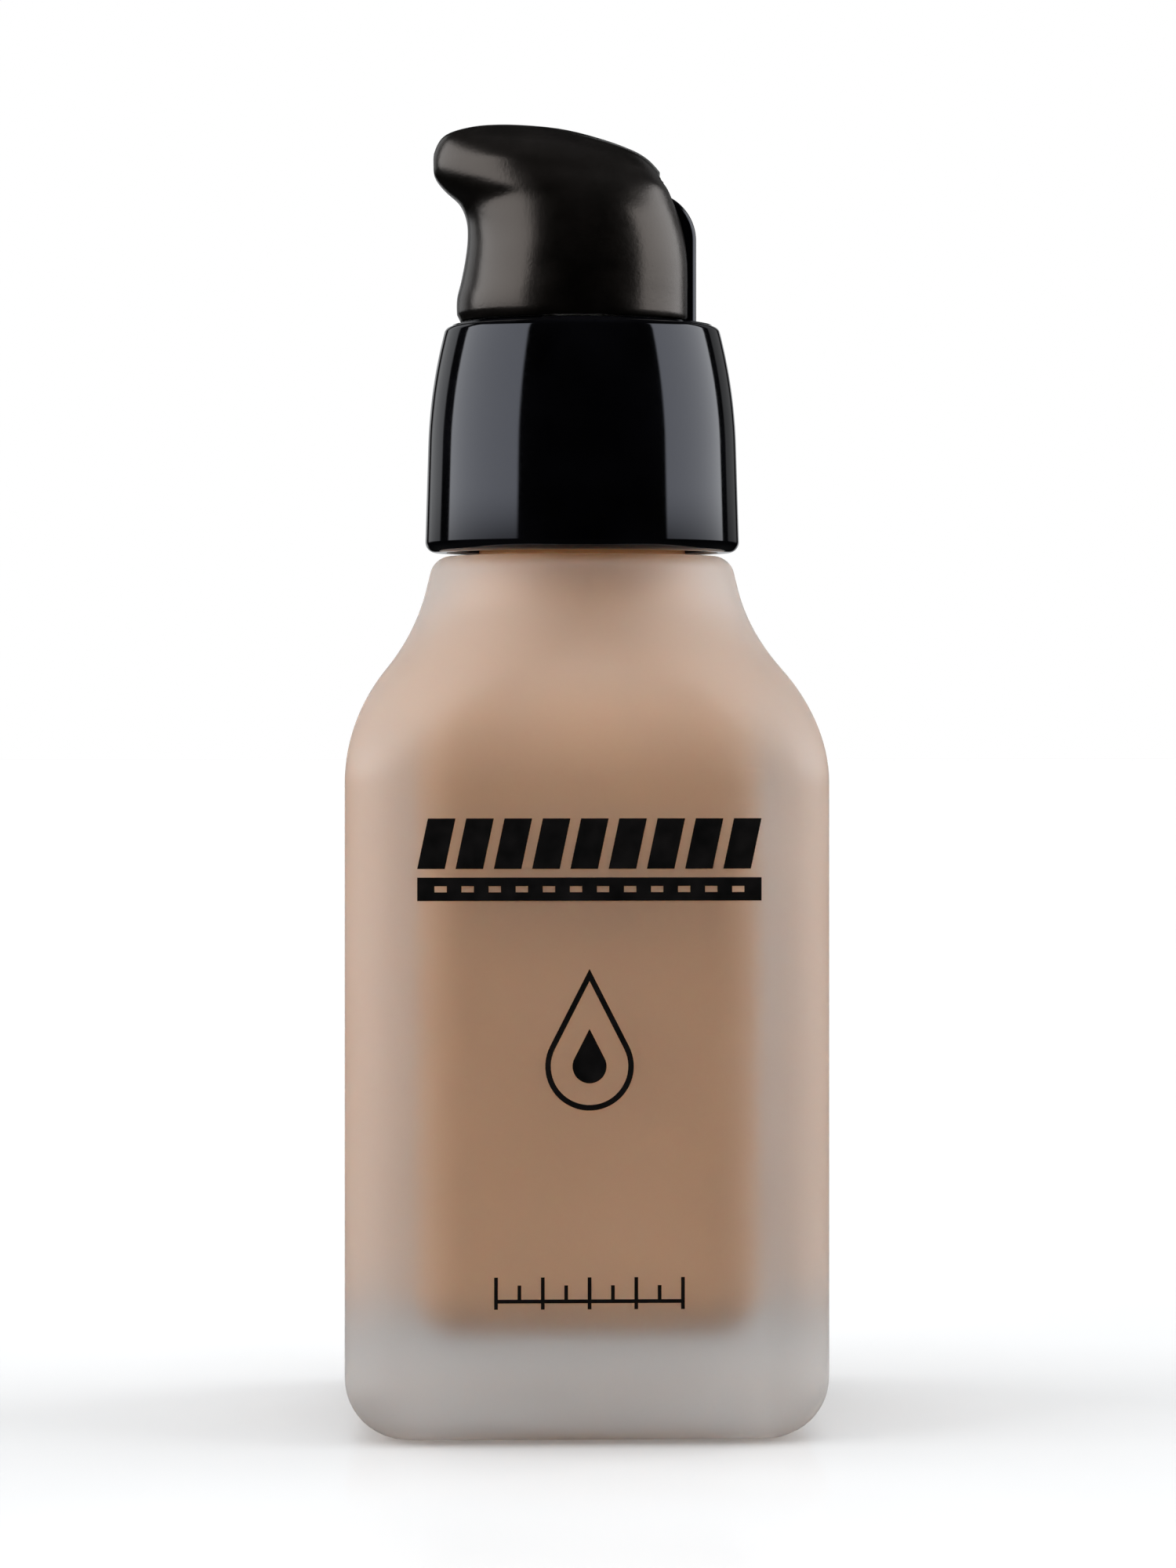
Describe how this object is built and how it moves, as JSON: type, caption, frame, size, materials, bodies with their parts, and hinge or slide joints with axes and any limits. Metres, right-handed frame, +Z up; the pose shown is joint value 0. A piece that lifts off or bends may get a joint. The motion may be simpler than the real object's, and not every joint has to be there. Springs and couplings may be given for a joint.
{
  "type": "foundation bottle",
  "caption": "Square frosted glass bottle of liquid foundation with a round threaded neck, a treatment pump under a glossy collar, and a beaked push head with a rear guard.",
  "frame": {"origin": "centre of the base, on the surface that the bottle stands on", "axes": "+Z up along the neck and the pump, -Y towards the printed front, -X towards the outlet"},
  "size_m": [0.04, 0.0401, 0.1099],
  "materials": {
    "frosted_glass": "acid-frosted outside",
    "foundation": "opaque creamy liquid",
    "black_ink": "screen-printed ink",
    "clear_plastic": "natural moulded plastic",
    "white_plastic": "moulded plastic",
    "gasket_foam": "foam liner",
    "steel": "drawn stainless steel",
    "gloss_black": "high gloss",
    "matte_black": "soft-touch matte"
  },
  "bodies": {
    "glass": {"bottle": "frosted_glass", "foundation_fill": "foundation", "front_print": "black_ink"},
    "pump_unit": {"pump_housing": "clear_plastic", "dip_tube": "clear_plastic", "housing_lock_ring": "white_plastic", "neck_gasket": "gasket_foam"},
    "closure": {"screw_closure": "white_plastic", "collar_shell": "gloss_black"},
    "push_head": {"actuator_shell": "matte_black", "actuator_core": "white_plastic", "nozzle_insert": "matte_black", "stem": "white_plastic", "piston_seat": "white_plastic", "return_spring": "steel"},
    "piston": {"piston": "white_plastic"},
    "ball": {"inlet_ball": "steel"}
  },
  "joints": [
    {"name": "pump_lift", "type": "slide", "parent": "glass", "child": "pump_unit", "axis": [0, 0, 1], "range_m": [0, 0.00476]},
    {"name": "closure_turn", "type": "hinge", "parent": "pump_unit", "child": "closure", "pos_m": [0, 0, 0.08], "axis": [0, 0, 1], "range_deg": [0, 540]},
    {"name": "pump_stroke", "type": "slide", "parent": "closure", "child": "push_head", "axis": [0, 0, -1], "range_m": [0, 0.004], "stiffness_N_per_m": 1400, "springref_m": -0.0046, "deforming": ["return_spring"]},
    {"name": "piston_slip", "type": "slide", "parent": "push_head", "child": "piston", "axis": [0, 0, 1], "range_m": [0, 0.0008]},
    {"name": "ball_lift", "type": "slide", "parent": "pump_unit", "child": "ball", "axis": [0, 0, 1], "range_m": [0, 0.001]}
  ],
  "couplings": [
    {"joint": "closure_turn", "follows": "pump_lift", "rad_per_m": 1978.9}
  ]
}
